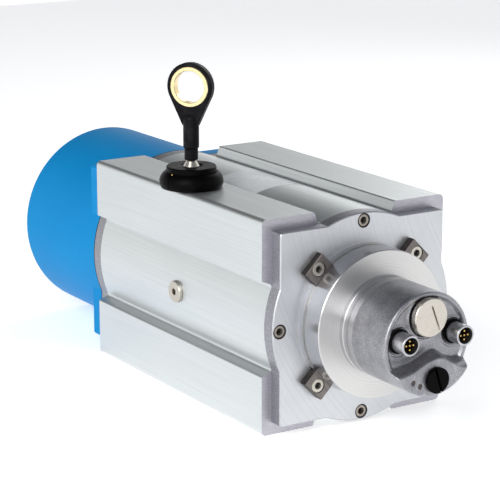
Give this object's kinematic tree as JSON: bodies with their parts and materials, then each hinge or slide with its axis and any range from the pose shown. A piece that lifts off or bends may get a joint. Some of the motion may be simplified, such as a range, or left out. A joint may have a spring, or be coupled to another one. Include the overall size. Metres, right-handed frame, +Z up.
{
  "type": "draw-wire encoder",
  "caption": "Draw-wire position encoder: square aluminium drum housing with a wire outlet and pull eye, a flanged encoder with round connectors, and a spring housing.",
  "frame": {"origin": "centre of the four base fixing holes, on the underside of the housing's lower pads", "axes": "+Z up, along the wire as it leaves; +Y along the drum shaft from the encoder to the spring housing; +X away from the wire outlet's side"},
  "size_m": [0.1371, 0.3918, 0.2066],
  "materials": {
    "anodised_profile": "clear anodised, satin",
    "milled_plate": "milled aluminium, satin",
    "turned_aluminium": "fine turned",
    "die_cast": "fine textured coat, satin",
    "blue_housing": "moulded, satin",
    "black_rubber": "moulded",
    "black_plastic": "fine matt",
    "dark_clamp": "milled, dark",
    "zinc_screws": "zinc plated",
    "dark_screws": "black oxide",
    "bearing_steel": "ground and polished",
    "shaft_steel": "ground",
    "spring_steel": "blued strip",
    "bronze": "turned bronze",
    "brass": "turned, bright",
    "nickel": "nickel plated, satin",
    "gold_pins": "gold flash",
    "wire_steel": "stranded stainless wire",
    "dark_eye": "moulded, satin",
    "light_pipe": "clear smoky plastic",
    "board": "solder mask",
    "code_disc": "film",
    "label": "blank film"
  },
  "bodies": {
    "housing": {"housing_profile": "anodised_profile", "front_end_plate": "milled_plate", "rear_end_plate": "milled_plate", "plate_seal_rings": "black_rubber", "front_plate_screws": "dark_screws", "rear_plate_screws": "dark_screws", "adapter_flange": "turned_aluminium", "flange_clamps": "dark_clamp", "clamp_screws": "zinc_screws", "encoder_base": "turned_aluminium", "encoder_mount_screws": "zinc_screws", "encoder_housing": "die_cast", "connector_sleeves": "nickel", "connector_seal_rings": "black_rubber", "connector_inserts": "black_plastic", "connector_pins": "gold_pins", "blanking_plug": "nickel", "plug_seal_ring": "black_rubber", "switch_cap": "black_plastic", "light_pipes": "light_pipe", "encoder_bearing_outer_rings": "bearing_steel", "encoder_board": "board", "board_posts": "zinc_screws", "main_bearing_outer_rings": "bearing_steel", "bearing_circlip": "spring_steel", "traverse_leadscrew": "shaft_steel", "leadscrew_screws": "dark_screws", "spring_housing_gasket": "black_rubber", "spring_housing": "blue_housing", "spring_housing_screws": "dark_screws", "spring_anchor_pin": "shaft_steel", "power_spring": "spring_steel", "outlet_seal_ring": "black_rubber", "wiper_disc": "black_plastic", "wire_guide_bush": "bronze", "side_plug_washer": "zinc_screws", "side_plug_screw": "zinc_screws", "rating_label": "label"},
    "shaft": {"drum_shaft": "shaft_steel", "feather_keys": "shaft_steel", "main_bearing_inner_rings": "bearing_steel", "main_bearing_balls": "bearing_steel", "spring_arbor": "shaft_steel", "arbor_pin": "shaft_steel", "shaft_coupling": "turned_aluminium", "coupling_screws": "dark_screws", "encoder_shaft": "shaft_steel", "encoder_bearing_inner_rings": "bearing_steel", "encoder_bearing_balls": "bearing_steel", "code_disc": "code_disc"},
    "drum": {"wire_drum": "turned_aluminium", "traverse_nut": "bronze", "wire_winding": "wire_steel"},
    "wire_end": {"measuring_wire": "wire_steel", "wire_ferrule": "nickel", "swivel_stem": "dark_eye", "swivel_pin": "nickel"},
    "eye": {"pull_eye": "dark_eye", "eye_bush": "brass"}
  },
  "joints": [
    {"name": "shaft_spin", "type": "hinge", "parent": "housing", "child": "shaft", "pos_m": [0, 0, 0.065], "axis": [0, 1, 0], "range_deg": [0, 10934], "deforming": ["power_spring"]},
    {"name": "drum_traverse", "type": "slide", "parent": "shaft", "child": "drum", "axis": [0, 1, 0], "range_m": [0, 0.04556]},
    {"name": "wire_pull", "type": "slide", "parent": "housing", "child": "wire_end", "axis": [0, 0, 1], "range_m": [0, 10]},
    {"name": "eye_swivel", "type": "hinge", "parent": "wire_end", "child": "eye", "pos_m": [-0.0524, 0, 0.16], "axis": [0, 0, 1], "continuous": true}
  ],
  "couplings": [
    {"joint": "drum_traverse", "follows": "shaft_spin", "m_per_rad": 0.00023873},
    {"joint": "wire_pull", "follows": "shaft_spin", "m_per_rad": 0.0524}
  ]
}
